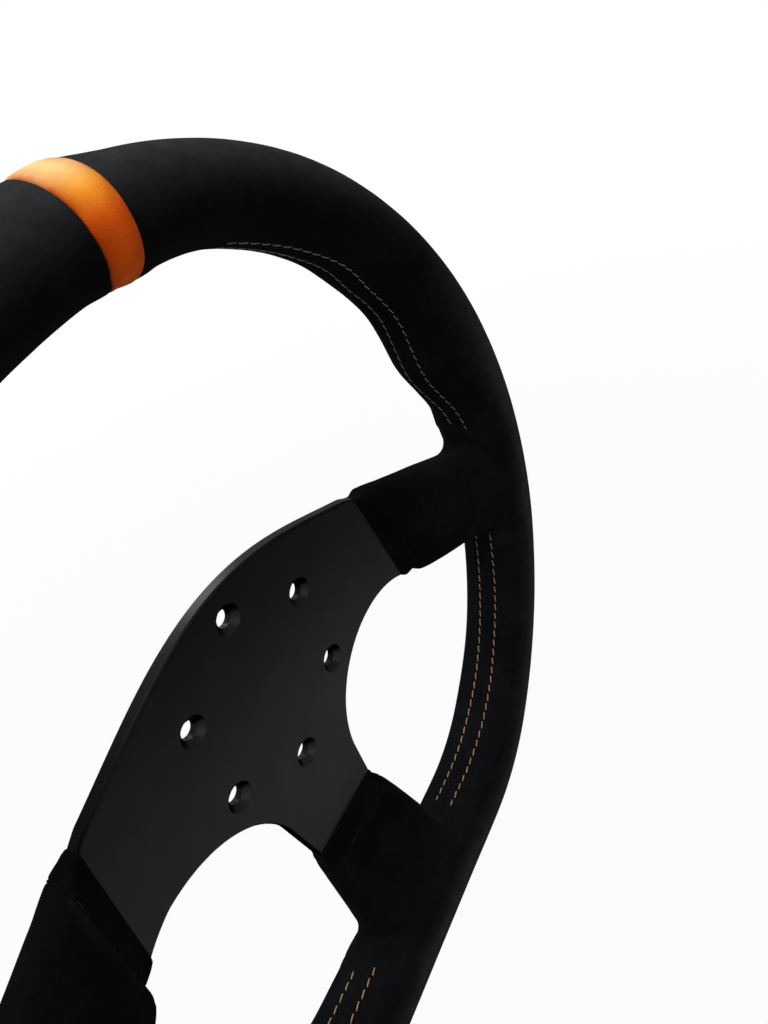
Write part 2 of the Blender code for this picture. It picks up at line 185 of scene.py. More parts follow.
class Arm:
    """The middle line of one spoke, seen from the driver's side, from the hub out to the rim."""

    def __init__(self, heading, offset, facing, hem, side, tail=1.0, flare=0.0, turned_up=1.0):
        turn = math.radians(heading)
        self.along = Vector((math.cos(turn), math.sin(turn)))
        self.across = Vector((-self.along.y, self.along.x))
        self.offset = offset
        self.facing = Vector((math.cos(math.radians(facing)), math.sin(math.radians(facing))))
        self.hem = hem
        self.tail = tail
        self.flare = flare
        self.turned_up = turned_up
        self.side = side
        self.reach = math.sqrt(rim_radius ** 2 - offset ** 2) if side else rim_flat
        upper, lower = (p.dot(self.along) for p in self.hem_ends(hem_width))
        self.crest = (upper + lower) / 2 + 0.0004
        self.skew = (lower - upper) / 2
        self.fold = self.along + self.across * 0.6 * self.skew / 0.0245

    def at(self, along, across):
        return self.along * along + self.across * (self.offset + across)

    def hem_ends(self, past, grow=0.0):
        """The two ends of a line across the plate, this far past the hem, which is narrower at its lower end."""
        return self.edge(self.hem + past, 1, grow * self.turned_up), self.edge(self.hem + past * self.tail, -1, grow)

    def flared(self, x):
        """How far the plate's lower edge turns out towards the arm, this far from the middle."""
        return self.flare * min(max((x - 0.068) / 0.0125, 0), 1.15)

    def edge(self, distance, way, grow=0.0):
        """Where a line square to the facing, this far from the hub, crosses the plate's edge."""
        base = self.facing * distance
        line = Vector((-self.facing.y, self.facing.x)) * way
        if not self.side:
            half = foot_half if way > 0 else foot_side.x - (distance + foot_side.y) * math.tan(foot_lean)
            return base + line * ((half + foot_flare + grow) * way - base.x) / line.x

        def crossing(middle, radius, far):
            b = (base - middle).dot(line)
            root = math.sqrt(b * b - (base - middle).length_squared + radius * radius)
            return base + line * (far * root - b)

        if way > 0:
            return crossing(arch_centre, arch_radius + 0.0004 + grow, 1)
        plain = crossing(cutout_centre, cutout_radius - grow, -1)
        return crossing(cutout_centre, cutout_radius - grow - self.flared(plain.x), -1)


right_arm = Arm(-19.2, 0.0246, 11.5, 0.0780, True, 0.65)
left_arm = Arm(-19.2, 0.0246, 6.9, 0.0769, True, 0.8, 0.0017, 3.0)
foot_arm = Arm(-90.0, 0.0, -90.0, 0.0770, False)


def arc(centre, radius, first, last, parts):
    start, end = (math.atan2(p.y - centre.y, p.x - centre.x) for p in (first, last))
    end += 2 * math.pi * round((start - end) / 2 / math.pi)
    return [centre + Vector((math.cos(a), math.sin(a))) * radius for a in np.linspace(start, end, parts + 1)]


def arm_outline(arm):
    """An arm's edge from its upper root, round its riveted end, to its lower root."""
    end = (rim_radius if arm.side else rim_flat) + ring_width / 2 - 0.001
    tip = []
    for across in np.linspace(arm_half, -arm_half, 9):
        tip.append(arm.at(math.sqrt(end ** 2 - (arm.offset + across) ** 2) if arm.side else end, across))
    lean = arm.skew * 0.6
    return [arm.at(arm.crest - lean, arm_half)] + tip + [arm.at(arm.crest + lean, -arm_half)]


def half_outline(arm, way):
    """Half of the plate's edge, from twelve o'clock round one side arm to the end of the foot."""
    edge = []
    for p in arc(arch_centre, arch_radius, Vector((0, plate_top)), arm.edge(arm.hem + under_hem, 1), 60):
        square = min(p.x * 1000, 70) ** 2
        hollow = (0.45 - 1.4755e-3 * square + 2.99e-7 * square * square) / 1000
        edge.append(p + (p - arch_centre).normalized() * hollow)
    edge += arm_outline(arm)
    root = Vector((foot_half, -cutout_down)) if way > 0 else foot_side
    for p in arc(cutout_centre, cutout_radius, arm.edge(arm.hem + under_hem, -1), root, 80):
        turned_out = foot_flare * min(max((-p.y - (0.040 if way > 0 else 0.033)) / 0.022, 0), 1)
        edge.append(p + (cutout_centre - p).normalized() * (arm.flared(p.x) + turned_out))
    corner = foot_arm.edge(foot_arm.hem + under_hem, way)
    edge += [Vector((abs(corner.x), corner.y))] + arm_outline(foot_arm)[:6]
    return [Vector((p.x * way, p.y)) for p in edge]


outline = half_outline(right_arm, 1) + half_outline(left_arm, -1)[-2:0:-1]
bm = bmesh.new()
blank = bm.faces.new([bm.verts.new((p.x, p.y, 0)) for p in outline])
grown = bmesh.ops.extrude_face_region(bm, geom=[blank])["geom"]
bmesh.ops.translate(bm, verts=[g for g in grown if isinstance(g, bmesh.types.BMVert)], vec=(0, 0, plate_thickness))
bmesh.ops.recalc_face_normals(bm, faces=bm.faces)


def shows(v):
    """Whether a corner of the blank is on the bare plate, clear of the three arms."""
    arm = right_arm if v.co.x > 0 else left_arm
    past = Vector((abs(v.co.x), v.co.y)).dot(arm.facing) - arm.hem, -v.co.y - foot_arm.hem
    return max(past) < under_hem + 0.0004


for level, size in ((plate_thickness, edge_round), (0.0, 0.0004)):
    rims = [e for e in bm.edges if all(abs(v.co.z - level) < 1e-6 and shows(v) for v in e.verts)]
    bmesh.ops.bevel(bm, geom=rims, offset=size, segments=5, profile=0.5, affect="EDGES")
folds = [(right_arm, right_arm.fold), (left_arm, Vector((-left_arm.fold.x, left_arm.fold.y))),
         (foot_arm, foot_arm.fold)]
for arm, fold in folds:
    arm.bend = arm.at(arm.crest + 0.003, 0).dot(arm.fold)
    arm.level = arm.at(arm.reach - 0.024, 0).dot(arm.fold)
    for where in (arm.bend, arm.level):
        near = [f for f in bm.faces if max(v.co.xy.dot(fold) for v in f.verts) > where]
        geom = set(near) | {e for f in near for e in f.edges} | {v for f in near for v in f.verts}
        bmesh.ops.bisect_plane(bm, geom=list(geom), dist=1e-7, plane_no=fold.to_3d(),
                               plane_co=(fold * where / fold.length_squared).to_3d())
for v in bm.verts:
    side_arm = right_arm if v.co.x > 0 else left_arm
    arm = foot_arm if abs(v.co.x) < arm_half * 1.5 and v.co.y < 0 else side_arm
    way = Vector((abs(v.co.x), v.co.y)).dot(arm.fold)
    v.co.z += arm_rise * min(max((way - arm.bend) / (arm.level - arm.bend), 0), 1)
flat_plate = bpy.data.meshes.new("flat_plate")
bm.to_mesh(flat_plate)
bm.free()

upright = Matrix.Rotation(math.pi / 2, 4, "X")


def keep(name, data, look, node):
    """Makes a finished piece that rides with the wheel and stands for a CAD node."""
    made = bpy.data.objects.new(name, data)
    bpy.context.scene.collection.objects.link(made)
    data.materials.clear()
    data.materials.append(look)
    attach(made, "root")
    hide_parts(node)
    return made


def drilled(data, places, profile, sides=72):
    """The mesh with round holes cut at some places, each to a stack of (height, radius) steps."""
    bm = bmesh.new()
    turn = [2 * math.pi * k / sides for k in range(sides)]
    for x, y in places:
        rows = [[bm.verts.new((x + r * math.cos(a), y + r * math.sin(a), z)) for a in turn] for z, r in profile]
        for low, high in zip(rows, rows[1:]):
            for k in range(sides):
                bm.faces.new((low[k], low[k - 1], high[k - 1], high[k]))
        bm.faces.new(rows[0])
        bm.faces.new(rows[-1])
    bmesh.ops.recalc_face_normals(bm, faces=bm.faces)
    bits = bpy.data.meshes.new("drill")
    bm.to_mesh(bits)
    bm.free()
    work, drill = bpy.data.objects.new("work", data), bpy.data.objects.new("drill", bits)
    for made in (work, drill):
        bpy.context.scene.collection.objects.link(made)
    cut = work.modifiers.new("cut", "BOOLEAN")
    cut.object = drill
    bpy.context.view_layer.update()
    done = bpy.data.meshes.new_from_object(work.evaluated_get(bpy.context.evaluated_depsgraph_get()))
    bpy.data.objects.remove(work)
    bpy.data.objects.remove(drill)
    return done


holes = [(bolt_circle / 2 * math.sin(k * math.pi / 3), bolt_circle / 2 * math.cos(k * math.pi / 3)) for k in range(6)]
sink_depth = (bolt_sink - bolt_hole) / 2
broken = 0.0002
plate_mesh = drilled(flat_plate, holes, [
    (-0.001, bolt_hole / 2 + broken), (0, bolt_hole / 2 + broken), (broken, bolt_hole / 2),
    (plate_thickness - sink_depth, bolt_hole / 2), (plate_thickness - broken * 0.5, bolt_sink / 2 - broken * 0.5),
    (plate_thickness, bolt_sink / 2 + broken * 0.6), (plate_thickness + 0.001, bolt_sink / 2 + broken * 0.6)])
plate_mesh.transform(upright)
plate_mesh.shade_smooth()
plate_mesh.set_sharp_from_angle(angle=math.radians(38))


def anodised_paint(w):
    blast = w.noise(0.00035, detail=3.0, rough=0.6)
    cloud = w.noise(0.03, detail=3.0)
    handled = w.noise(0.009, detail=2.0).ease(0.4, 0.7)
    tone = cloud * 0.5 + blast * 0.5
    normal = w.node("TexCoord", output="Normal")
    facing = w.math("ABSOLUTE", w.node("SeparateXYZ", {}, {0: normal}, "Y"))
    upward = w.node("SeparateXYZ", {}, {0: normal}, "Z")
    flat = facing.ease(0.74, 0.95)
    hub = w.node("VectorMath", {"operation": "LENGTH"}, {0: w.stretched(w.place(), (1, 1000, 1))}, "Value")
    # Painted highlight: each countersink's cone is made lighter where it faces up and to the left, which is on the
    # lower right of every hole.
    cone = facing.ease(0.4, 0.6) * (1 - facing.ease(0.8, 0.92)) * (1 - hub.ease(0.0405, 0.042))
    lit = w.node("VectorMath", {"operation": "DOT_PRODUCT"}, {0: normal, 1: (-0.8, 0, 0.6)}, "Value")
    turned = cone * (lit.ease(0.5, 0.68) * 0.75 + upward.ease(-0.2, 0.7) * 0.25)
    # Painted shade and highlight in the coat: its shine is cut towards the upper right, walls that face down lose it,
    # and walls that face up keep it, most near the middle and less to the left and right.
    shaded = w.node("VectorMath", {"operation": "DOT_PRODUCT"}, {0: w.place(), 1: (2.03, 0, 5.37)}, "Value")
    across = w.node("SeparateXYZ", {}, {0: w.place()}, "X")
    rub_and_light = across.ease(-0.075, -0.01) * (1 - across.ease(0.0, 0.05) * 0.9) * 0.72 + 0.28
    coat_and_painted_light = flat * (1 - shaded.ease(-0.15, 0.3) * 0.6) + (1 - flat) * upward.ease(0.15, 0.75) * rub_and_light
    colour = tone.blend((0.0008, 0.0008, 0.00085, 1), (0.0022, 0.0022, 0.0023, 1))
    return {"Base Color": turned.blend(colour, (0.034, 0.034, 0.036, 1)),
            "Coat Weight": coat_and_painted_light * (cloud * 0.1 + blast * 0.08 + handled * 0.06 + 0.86),
            "Roughness": blast * 0.1 + cloud * 0.1 + 0.6, "Normal": w.raised(blast, 0.00002)}


anodised = surface("black_anodised", {"Specular IOR Level": 0.0, "Coat Roughness": 0.36, "Coat IOR": 1.2},
                   anodised_paint)
plate = keep("spoke_plate_finished", plate_mesh, anodised, "spoke_plate")
even = plate.modifiers.new("even_faces", "WEIGHTED_NORMAL")
even.keep_sharp = True

# Rivets. Two steel rivets go through each arm's flat end and the ring, with both heads set round.
# They are under the foam, so they keep their CAD shape.


def rivet_paint(w):
    turned = w.noise(0.0008, detail=3.0)
    return {"Base Color": turned.blend((0.36, 0.36, 0.37, 1), (0.5, 0.5, 0.51, 1)),
            "Roughness": turned * 0.2 + 0.25, "Normal": w.raised(turned, 0.00003)}


rivet_steel = surface("rivet_steel", {"Metallic": 1.0}, rivet_paint)
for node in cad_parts:
    if node.startswith("rivet_"):
        dress(node, rivet_steel)

# Grip foam. Black urethane foam is moulded over the ring and the arms, and the suede is glued to it.
# The suede covers all of it.


rim_corner = 0.070
rim_half_width = 0.014
rim_half_depth = 0.0176
rim_plane = plate_thickness + 0.0138
swell_clock = 68.0
swell_spread = 31.0
swell_in = 0.007
swell_back = 0.003
suede = 0.0013
finger_rests = [(1.7, 43.0, 7.5), (1.9, 68.5, 5.5), (-1.1, 81.0, 4.0), (-0.5, 56.0, 4.0), (-1.2, 127.0, 14.0),
                (-0.45, 172.0, 12.0)]
top_padding = [(-40, 0), (-15, -0.8), (-5, -1.0), (-1, -0.7), (1.2, 0.1), (2.8, 0.25), (4, 0.1), (6, -0.45), (8, -0.75),
               (12, -0.6), (18, -0.45), (28, -0.2), (45, -0.25), (60, 0)]
top_inside = [(-26, 0.2), (-18, 0.8), (-12, 1.25), (-9, 1.6), (-5, 1.7), (-1, 1.2), (1.2, 0.75), (3.3, 0.3), (5, 1.1),
              (6.5, 1.4), (8.5, 0.75), (11, 0.2), (14, -0.26), (17, -0.49), (20, -0.23), (23, 0.16), (26, 0.39),
              (29, 0.6), (33, 0.84), (37, 0.47), (41, 0), (46, 0.2), (52, 0)]
top_dial = np.linspace(-50, 70, 1201)
soft = np.hanning(23) / np.hanning(23).sum()
top_lines = [np.convolve(np.interp(top_dial, *zip(*line)), soft, "same") for line in (top_padding, top_inside)]
corner_centre = np.array((math.sqrt((rim_radius - rim_corner) ** 2 - (rim_flat - rim_corner) ** 2),
                          rim_corner - rim_flat))




def stand(points):
    """Points drawn flat, as the row frame has them."""
    return np.asarray(points)[..., [0, 2, 1]] * (1, -1, 1)


def rim_line(clock):
    """Points and outward directions on the rim's middle line at clock angles in degrees."""
    turn = np.radians(clock)
    way = np.stack([np.abs(np.sin(turn)), np.cos(turn)], -1)
    flip = np.where(np.sin(turn) < 0, -1.0, 1.0)
    middle = way @ corner_centre
    reach = middle + np.sqrt(np.maximum(middle ** 2 - corner_centre @ corner_centre + rim_corner ** 2, 0))
    round_part = np.arctan2(way[..., 0], way[..., 1]) <= math.atan2(*corner_centre)
    down = np.minimum(way[..., 1], -1e-9)
    flat_part = ~round_part & (way[..., 0] / -down * rim_flat <= corner_centre[0])
    reach = np.where(round_part, rim_radius, np.where(flat_part, rim_flat / -down, reach))
    point = way * reach[..., None]
    out = (point - corner_centre) / rim_corner
    out = np.where(round_part[..., None], way, np.where(flat_part[..., None], np.array((0.0, -1.0)), out))
    return point * np.stack([flip, np.ones_like(flip)], -1), out * np.stack([flip, np.ones_like(flip)], -1)


def swell_at(clock):
    off = np.abs(np.abs((np.asarray(clock) + 180) % 360 - 180) - swell_clock)
    return np.cos(np.minimum(off / swell_spread, 1) * math.pi / 2) ** 2


def lump_at(clock, section):
    """Finger rests on the inner side, mirrored left and right, and uneven padding near twelve o'clock."""
    signed = (np.asarray(clock) + 180) % 360 - 180
    side = np.abs(signed)
    rests = sum(high * np.exp(-((side - middle) / wide) ** 2) for high, middle, wide in finger_rests)
    inner = np.maximum(np.cos(np.radians(section - 205.0)), 0)
    padding, inside = (np.interp(signed, top_dial, line) for line in top_lines)
    return (rests * inner + padding + inside * np.maximum(np.cos(np.radians(section - 165.0)), 0)) / 1000


def rim_skin(clock, section, lift=0.0):
    """Flat-drawn points on the rim at clock and section angles in degrees, raised by lift metres."""
    clock, section, lift = np.broadcast_arrays(*map(np.asarray, (clock, section, lift)))
    centre, out = rim_line(clock)
    c, s = np.cos(np.radians(section)), np.sin(np.radians(section))
    lift = lift + lump_at(clock, section)
    bulge = np.maximum(0, -c) * swell_at(clock)
    radial = (rim_half_width + lift) * c - swell_in * bulge
    axial = rim_plane + (rim_half_depth + lift) * s - swell_back * bulge
    return np.concatenate([centre + out * radial[..., None], axial[..., None]], -1)


def grid_faces(rows, columns, loop_rows=False, loop_columns=True):
    """Quads over a grid of points numbered row by row."""
    r = np.arange(rows if loop_rows else rows - 1)
    c = np.arange(columns if loop_columns else columns - 1)
    a, b = np.meshgrid(r, c, indexing="ij")
    a2, b2 = (a + 1) % rows, (b + 1) % columns
    return np.stack([a * columns + b, a * columns + b2, a2 * columns + b2, a2 * columns + b], -1).reshape(-1, 4)


def mesh_of(name, points, faces, caps=(), lay=None):
    """A smooth mesh from flat-drawn points, with the way its nap or yarn lies kept for the material."""
    made = bpy.data.meshes.new(name)
    made.from_pydata(stand(points).tolist(), [], faces.tolist() + [list(map(int, cap)) for cap in caps])
    if lay is not None:
        made.attributes.new("lay", "FLOAT_VECTOR", "POINT").data.foreach_set("vector", np.ravel(lay))
    bm = bmesh.new()
    bm.from_mesh(made)
    bmesh.ops.recalc_face_normals(bm, faces=bm.faces)
    bm.to_mesh(made)
    bm.free()
    made.shade_smooth()
    made.set_sharp_from_angle(angle=math.radians(60))
    return made


def rounded_ring(upper, lower, back, front, corner, swelled):
    """A rounded box of points across an arm, from its upper edge over the front to the back."""
    middle, way = (upper + lower) / 2, (upper - lower).normalized()
    half, tall = (upper - lower).length / 2, (front - back) / 2
    signs = ((1, 1), (-1, 1), (-1, -1), (1, -1))
    ends = []
    for quarter, (sx, sz) in enumerate(signs):
        for step in np.linspace(0, 1, 11):
            a = math.pi / 2 * (quarter + step)
            ends.append((sx * (half - corner) + corner * math.cos(a), sz * (tall - corner) + corner * math.sin(a)))
    ring = []
    for quarter in range(4):
        ring += ends[quarter * 11:quarter * 11 + 11]
        here, there = np.array(ends[quarter * 11 + 10]), np.array(ends[(quarter * 11 + 11) % 44])
        for t in np.linspace(0, 1, (21 if quarter % 2 == 0 else 7))[1:-1]:
            bulge = swelled * math.sin(math.pi * t) * (np.sign(here[1]) if quarter % 2 == 0 else 0)
            ring.append(tuple(here * (1 - t) + there * t + (0, bulge)))
    ring = np.array(ring)
    flat = np.array(middle) + ring[:, :1] * np.array(way)
    return np.concatenate([flat, ring[:, 1:] + back + tall], axis=1)


def foam_paint(w):
    cells = w.node("TexVoronoi", {}, {"Vector": w.place(), "Scale": 1400.0})
    skin = w.noise(0.004, detail=3.0)
    return {"Base Color": skin.blend((0.02, 0.02, 0.02, 1), (0.045, 0.045, 0.045, 1)),
            "Roughness": skin * 0.1 + 0.8, "Normal": w.raised(cells, 0.0002)}


def foam_ring(clock):
    return rim_skin(clock, np.arange(0.0, 360.0, 9.0), -0.0019)


turns = np.arange(0.0, 360.0, 1.5)
loops = np.stack([foam_ring(np.full(40, clock)) for clock in turns])
foam_points, foam_faces, foam_caps = [loops.reshape(-1, 3)], [grid_faces(len(turns), 40, True)], []
for arm, flip in ((right_arm, 1), (left_arm, -1), (foot_arm, 1)):
    stuffing = []
    for f in np.linspace(0.1, 1.1, 9):
        along = arm.crest + f * (arm.reach - ring_width / 2 - arm.crest)
        lean = arm.skew * (1 - f)
        stuffing.append(rounded_ring(arm.at(along - lean, 0.0165), arm.at(along + lean, -0.0165),
                                     -0.0016 + f * 0.011, 0.0090 + f * 0.018, 0.0045, 0))
    stuffing = np.stack(stuffing) * (flip, 1, 1)
    many = stuffing.shape[1]
    begin = sum(len(p) for p in foam_points)
    foam_points.append(stuffing.reshape(-1, 3))
    foam_faces.append(grid_faces(9, many) + begin)
    foam_caps += [np.arange(many)[::-1] + begin, np.arange(many) + 8 * many + begin]
foam_mesh = mesh_of("grip_foam_moulded", np.concatenate(foam_points), np.concatenate(foam_faces), foam_caps)
keep("grip_foam_moulded", foam_mesh, surface("moulded_foam", {}, foam_paint), "grip_foam")

# Rim covers. Four panels of black suede are wrapped round the foam and closed along a butt seam on the
# rim's inner side. The needle pulls a shallow channel along each side of the seam.

row_turn = 14.0
pitch = 0.0044
band_edges = (-0.32, 3.69)
side_wrap = (86.5, 105.2)
foot_wrap = (166.8, 190.8)

# The seam wanders along the rim: clock angle, its section angle, and how far each row is from it.
seam_course = [(0, 167, 9), (14, 169.4, 7.8), (20, 169.7, 7.8), (25, 169.4, 8.9), (30, 169.2, 9.8),
               (38, 169.6, 10), (42, 172, 11), (46, 175.8, 10.9),
               (50, 174, 10), (54, 172.8, 10.3), (58, 175.3, 11.5), (62, 178.7, 11.4), (66, 180.4, 11.3),
               (71, 182, 11.4), (75, 180, 11.5), (79, 174.5, 10), (85, 174.4, 10.6), (95, 180, 12),
               (106, 185, 13), (114, 183.7, 13.6), (122, 182.3, 14.5), (130, 181.5, 14.1), (137, 180.1, 13.9),
               (146, 182.8, 14), (154, 184.4, 13.5), (162, 185.4, 13.3), (170, 185, 12.5), (180, 183, 12)]
course_dial = np.linspace(0, 180, 721)
seam_lines = []
for k in (1, 2):
    rough_line = np.interp(course_dial, [c[0] for c in seam_course], [c[k] for c in seam_course])
    seam_lines.append(np.convolve(np.pad(rough_line, 12, mode="edge"), np.hanning(25) / np.hanning(25).sum(), "valid"))


def sewn_turn(clock, turn):
    """The section angle of a turn that is drawn with the seam at 180 and a row at row_turn on each side."""
    side = np.abs((np.asarray(clock) + 180) % 360 - 180)
    middle, gap = (np.interp(side, course_dial, line) for line in seam_lines)
    near = np.where(turn <= 360, turn - 180, turn - 540)
    off = np.abs(near)
    moved = off - (row_turn - gap) * np.interp(off, [0, row_turn, 60], [0, 1, 0])
    return middle + np.sign(near) * moved


def leaned(clock, section):
    """Clock angles near the band, which is sewn in a little askew and narrower on the rim's inner side."""
    signed = (np.asarray(clock) + 180) % 360 - 180
    section = np.asarray(section) % 360
    near, first = np.exp(-((signed - 1.7) / 7) ** 2), np.exp(-((signed + 0.3) / 2) ** 2)
    return (clock + near * np.interp(section, [90, 110, 120, 130, 140, 155, 180, 230, 270],
                                     [0, 0.25, 0.5, 0.75, 1.0, 1.4, 1.6, 1.0, 0])
            + first * np.interp(section, [0, 18, 45, 135, 155, 180, 270, 342],
                                [0.5, 0.15, 0, 0, 0.7, 1.2, 1.0, 1.0], period=360))


dial = np.linspace(-5, 365, 14801)
seam_steps = np.linalg.norm(np.diff(rim_skin(dial, 180.0), axis=0), axis=1)
seam_run = np.concatenate([[0], np.cumsum(seam_steps)])


def run_at(clock):
    return np.interp(clock, dial, seam_run)


def clock_at(run):
    return np.interp(run, seam_run, dial)


def pull(run, section):
    """Small unevenness of hand-stretched suede, as a height in metres."""
    turn = np.radians(section)
    wave = (np.sin(run / 0.0213 + 2 * turn + 0.3) * 0.5 + np.sin(run / 0.0117 - 3 * turn + 1.7) * 0.35
            + np.sin(run / 0.0341 + 5 * turn + 2.2) * 0.3 + np.sin(run / 0.0072 + 4 * turn + 4.1) * 0.2)
    return 0.00009 * wave


half_turns = np.array([0.12, 0.3, 0.7, 1.6, 4.0, 7.4, 9.4, 11.0, 12.3, 13.2, 14.0, 14.8, 15.7, 17.0, 18.7, 21.0, 24.0,
                       28.0, 33.0, 38.0, 44.0, 50.0, 56.0, 62.0, 68.0, 74.0, 80.0, 86.0, 92.0, 98.0, 104.0, 110.0,
                       116.0, 122.0, 128.0, 134.0, 140.0, 147.0, 154.0, 162.0, 171.0])
outer_turns = np.concatenate([180 + half_turns, [360.0], 540 - half_turns[::-1]])
inner_turns = np.concatenate([[180.6], np.linspace(200, 520, 17), [539.4]])[::-1]


def stitch_holes(first, last):
    """Where the needle went through, evenly along the seam between two clock angles."""
    start, end = run_at(first), run_at(last)
    return np.linspace(start, end, max(2, int(round((end - start) / pitch)) + 1))


def nap_wear_and_light(clock, section):
    """How much lighter the nap is: on its outer side at the top as painted light, where the overhead light falls, and
    on the sides and bottom from about two o'clock down, partly from wear where hands hold the wheel and partly as
    painted light from the white table below.
    """
    side = np.abs((clock + 180) % 360 - 180)
    outer = np.abs((section + 180) % 360 - 180)
    # Painted light: the outer side near twelve o'clock is lighter where the overhead light falls on it.
    top = np.interp(outer, [36, 50, 70, 90, 100], [0.85, 0.64, 0.38, 0.07, 0]) * np.clip((52 - side) / 18, 0, 1)
    # The sides and bottom are lighter partly from wear where hands hold the wheel and partly as painted light from the
    # white table below.
    hands_and_light = np.interp(outer, [0, 20, 35, 50, 92, 110, 128, 150], [0.35, 0.5, 0.7, 1, 1, 0.2, 0, 0.06])
    return 0.1 + 0.9 * np.maximum(hands_and_light * np.clip((side - 50) / 26, 0, 1), top)


def panel(name, first, last, tucked=(False, False), rows=None, proud=0.0):
    """Suede round the rim between two clock angles, open along the seam; a tucked end dips into a joint."""
    start, end = run_at(first), run_at(last)
    runs = np.linspace(start, end, int((end - start) / (pitch / 4)) + 1)
    if rows is not None:
        inside = np.interp(np.arange(0, len(rows) - 1, 0.25), np.arange(len(rows)), rows)
        before = np.linspace(start, rows[0], int((rows[0] - start) / (pitch / 4)) + 4)[:-1]
        after = np.linspace(rows[-1], end, int((end - rows[-1]) / (pitch / 4)) + 4)
        runs = np.concatenate([before, inside, after])
    ends = np.array([0.00012, 0.0003, 0.0006, 0.001])
    runs = np.unique(np.concatenate([runs, start + ends, end - ends]))
    runs = runs[(runs >= start) & (runs <= end)]
    run, turn = np.meshgrid(runs, outer_turns, indexing="ij")
    off = np.minimum(np.abs(turn - 180), np.abs(540 - turn))
    lift = pull(run, turn)
    lift -= np.interp(off, [0.12, 0.3, 0.7, 1.6], [0.0006, 0.00014, 0.00003, 0])
    if rows is not None:
        along = np.min(np.abs(run[..., None] - rows), axis=-1) if len(rows) < 400 else 0
        sewn = np.clip(np.minimum(run - rows[0], rows[-1] - run) / 0.002 + 1, 0, 1)
        lift -= sewn * 0.00026 * np.exp(-((off - row_turn) / 2.4) ** 2)
        lift -= 0.00032 * np.exp(-((off - row_turn) / 1.7) ** 2 - (along / 0.0006) ** 2)
    for tuck, gone in zip(tucked, (run - start, end - run)):
        if tuck:
            lift -= np.interp(gone, [0, 0.00012, 0.0003, 0.0006, 0.001], [0.0008, 0.00045, 0.0002, 0.00006, 0])
    clock = clock_at(run)
    section = sewn_turn(clock, turn)
    swollen = 0.8 - 0.3 * np.maximum(np.cos(np.radians(section - 185)), 0)
    lift += proud * swollen * (0.2 + 0.8 * np.clip((run - start) / 0.006, 0, 1))
    outer = rim_skin(leaned(clock, section), section, lift)
    clock = clock_at(runs)[:, None]
    under = sewn_turn(clock, inner_turns[None, :])
    points = np.concatenate([outer, rim_skin(leaned(clock, under), under, -suede)], axis=1)
    count = points.shape[1]
    around = np.radians(np.concatenate([outer_turns, inner_turns])) * 0.016
    # How much lighter each point is made, for wear and as painted light.
    wear_and_light = nap_wear_and_light(clock, np.concatenate([section, under], axis=1))
    # On the band this only darkens the strip towards both its edges.
    if proud:
        wear_and_light = np.exp(-np.minimum(runs - start, end - runs) / 0.0025)[:, None]
    lay = np.stack(np.broadcast_arrays(runs[:, None], around[None, :], wear_and_light), -1)
    caps = [np.arange(count)[::-1], np.arange(count) + (len(runs) - 1) * count]
    return mesh_of(name, points.reshape(-1, 3), grid_faces(len(runs), count), caps, lay.reshape(-1, 3))


def suede_paint(dark, light, tips, wear_and_light, painted_top_highlight=()):
    """Brushed nap in two shades: fine fibre, soft patches where hands smoothed it, and a last tone blended in by the
    lay's third value, for the wear on its edges and for painted light; given highlight colours lighten it towards the
    rim's top as painted highlights.
    """
    def paint(w):
        lay = w.node("Attribute", {"attribute_name": "lay"}, output="Vector")
        fibre = w.noise(1.0, w.stretched(lay, (0.0009, 0.00035, 1.0)), 3.0, 0.65)
        clump = w.noise(0.0022, detail=3.0, rough=0.6)
        brushed = w.noise(0.017, detail=2.0).ease(0.36, 0.66)
        tone = fibre * 0.45 + clump * 0.35 + brushed * 0.25
        colour = fibre.ease(0.62, 0.85).blend(tone.ease(0.3, 0.85).blend(dark, light), tips)
        # Painted highlight: the given colours are blended in towards the rim's outer side, which is its top where the
        # band sits.
        turned = w.math("ABSOLUTE", w.node("SeparateXYZ", {}, {0: lay}, "Y") * 62.5 - 2 * math.pi)
        for low, high, highlight_colour in painted_top_highlight:
            colour = (1 - turned.ease(math.radians(low), math.radians(high))).blend(colour, highlight_colour)
        # The lay's third value blends in the last tone, for wear and for painted light.
        edge = w.node("SeparateXYZ", {}, {0: lay}, "Z") * (w.noise(0.005, detail=3.0).ease(0.3, 0.7) * 0.3 + 0.7)
        return {"Base Color": edge.blend(colour, wear_and_light), "Roughness": clump * 0.08 + 0.88,
                "Normal": w.raised(fibre * 0.6 + clump * 0.5, 0.00028)}
    return paint


black_suede = surface("black_suede", {"Specular IOR Level": 0.0, "Sheen Weight": 0.02, "Sheen Roughness": 0.4,
                                      "Sheen Tint": (0.75, 0.8, 0.9, 1)},
                      suede_paint((0.0021, 0.0022, 0.0024, 1), (0.0050, 0.0053, 0.0059, 1), (0.0095, 0.0102, 0.0110, 1),
                                  (0.0300, 0.0320, 0.0345, 1)))

stretches = {"upper_right": (band_edges[1], side_wrap[0], (True, False), (18.6, 85.2)),
             "lower_right": (side_wrap[1], foot_wrap[0], (False, False), (106.0, 166.0)),
             "lower_left": (foot_wrap[1], 360 - side_wrap[1], (False, False), (191.5, 254.0)),
             "upper_left": (360 - side_wrap[0], 360 + band_edges[0], (False, True), (274.8, 344.8))}
seam_holes = {}
for tag, (first, last, tucked, sewn) in stretches.items():
    seam_holes[tag] = stitch_holes(*sewn)
    keep(f"rim_suede_{tag}", panel(f"rim_suede_{tag}", first, last, tucked, seam_holes[tag]), black_suede,
         f"rim_cover_{tag}")

# Contrast band. A strip of orange suede is sewn in between the two upper panels as a centring mark.
# Its edges are turned down into the joints on both sides.

